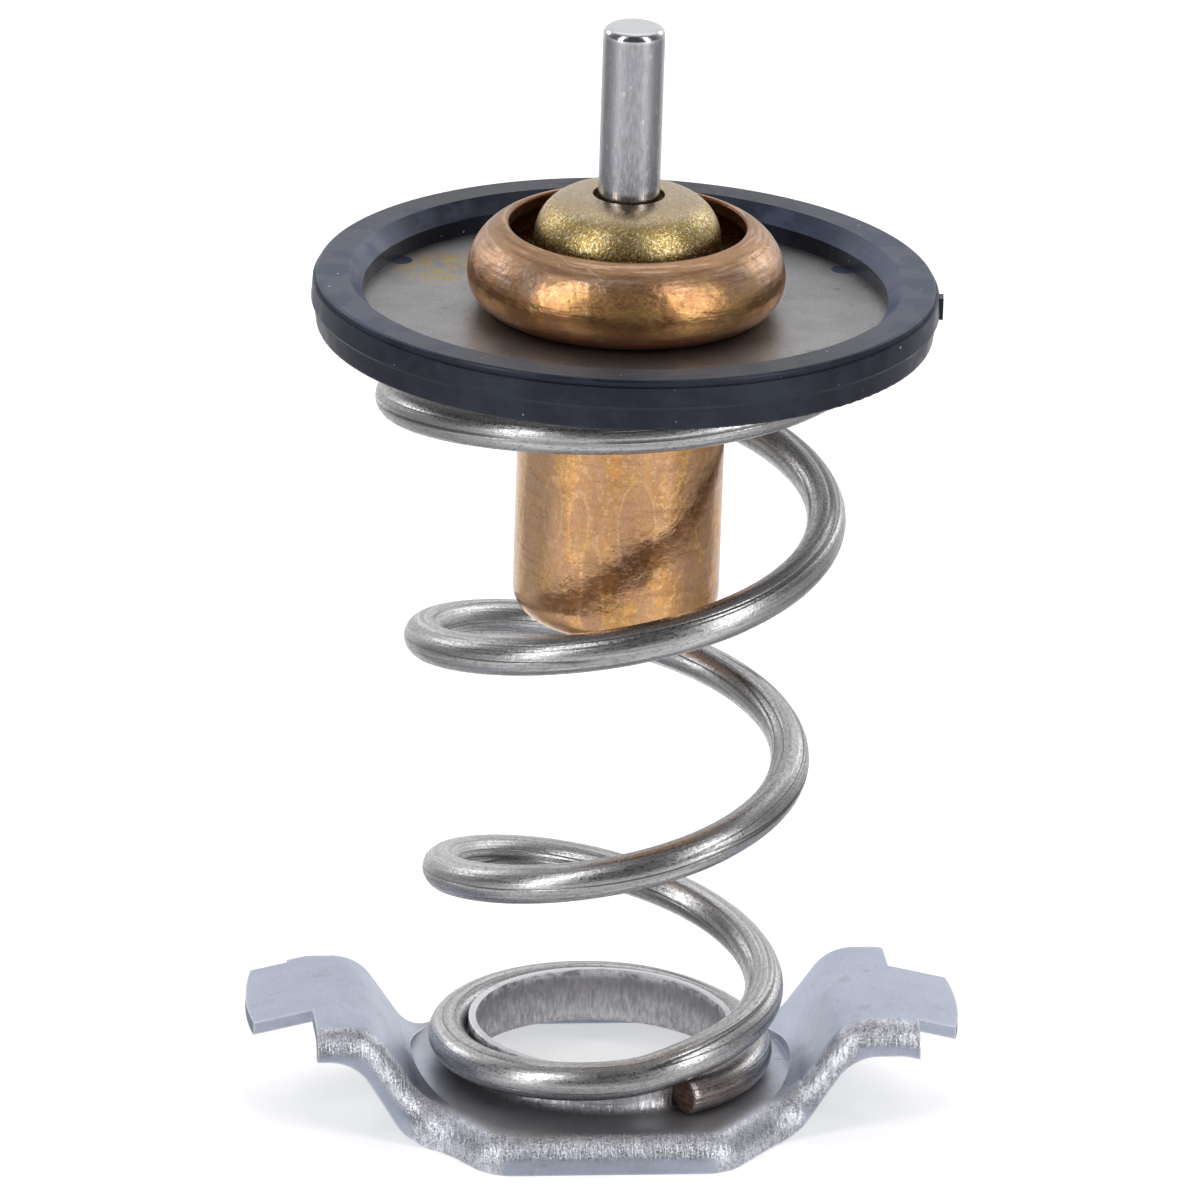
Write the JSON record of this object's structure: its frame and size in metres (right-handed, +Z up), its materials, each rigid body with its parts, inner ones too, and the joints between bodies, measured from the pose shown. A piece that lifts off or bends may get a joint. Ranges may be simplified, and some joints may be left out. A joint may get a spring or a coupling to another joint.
{
  "type": "engine thermostat",
  "caption": "Wax-element engine thermostat: a rubber-edged valve plate on a copper cup with a steel pin, sprung off a stamped bridge with bayonet arms.",
  "frame": {"origin": "on the valve's centre line, at the level of the bridge's lowest edges", "axes": "+Z up along the pin, +X along the bridge's arms"},
  "size_m": [0.0472, 0.0408, 0.0746],
  "materials": {
    "bridge_steel": "bright stamped sheet, brushed on the bends",
    "spring_steel": "drawn wire, satin with dark draw lines",
    "plate_steel": "dull sheet with fine grain and light stains",
    "seal_rubber": "moulded, satin",
    "copper": "drawn copper, handled and stained",
    "wax": "cast wax with metal powder",
    "boot_rubber": "moulded, matt",
    "ring_plastic": "plain, smooth",
    "guide_brass": "blasted brass",
    "piston_steel": "ground, with a polished end"
  },
  "bodies": {
    "bridge": {"bridge_bracket": "bridge_steel", "main_spring": "spring_steel"},
    "valve": {"valve_plate": "plate_steel", "seal_ring": "seal_rubber", "wax_cup": "copper", "wax_charge": "wax", "rubber_boot": "boot_rubber", "backup_ring": "ring_plastic", "guide": "guide_brass"},
    "pin": {"piston": "piston_steel"}
  },
  "joints": [
    {"name": "valve_slide", "type": "slide", "parent": "bridge", "child": "valve", "axis": [0, 0, 1], "range_m": [-0.03, 0], "stiffness_N_per_m": 9100, "deforming": ["main_spring"]},
    {"name": "pin_slide", "type": "slide", "parent": "valve", "child": "pin", "axis": [0, 0, 1], "range_m": [0, 0.0085]}
  ]
}
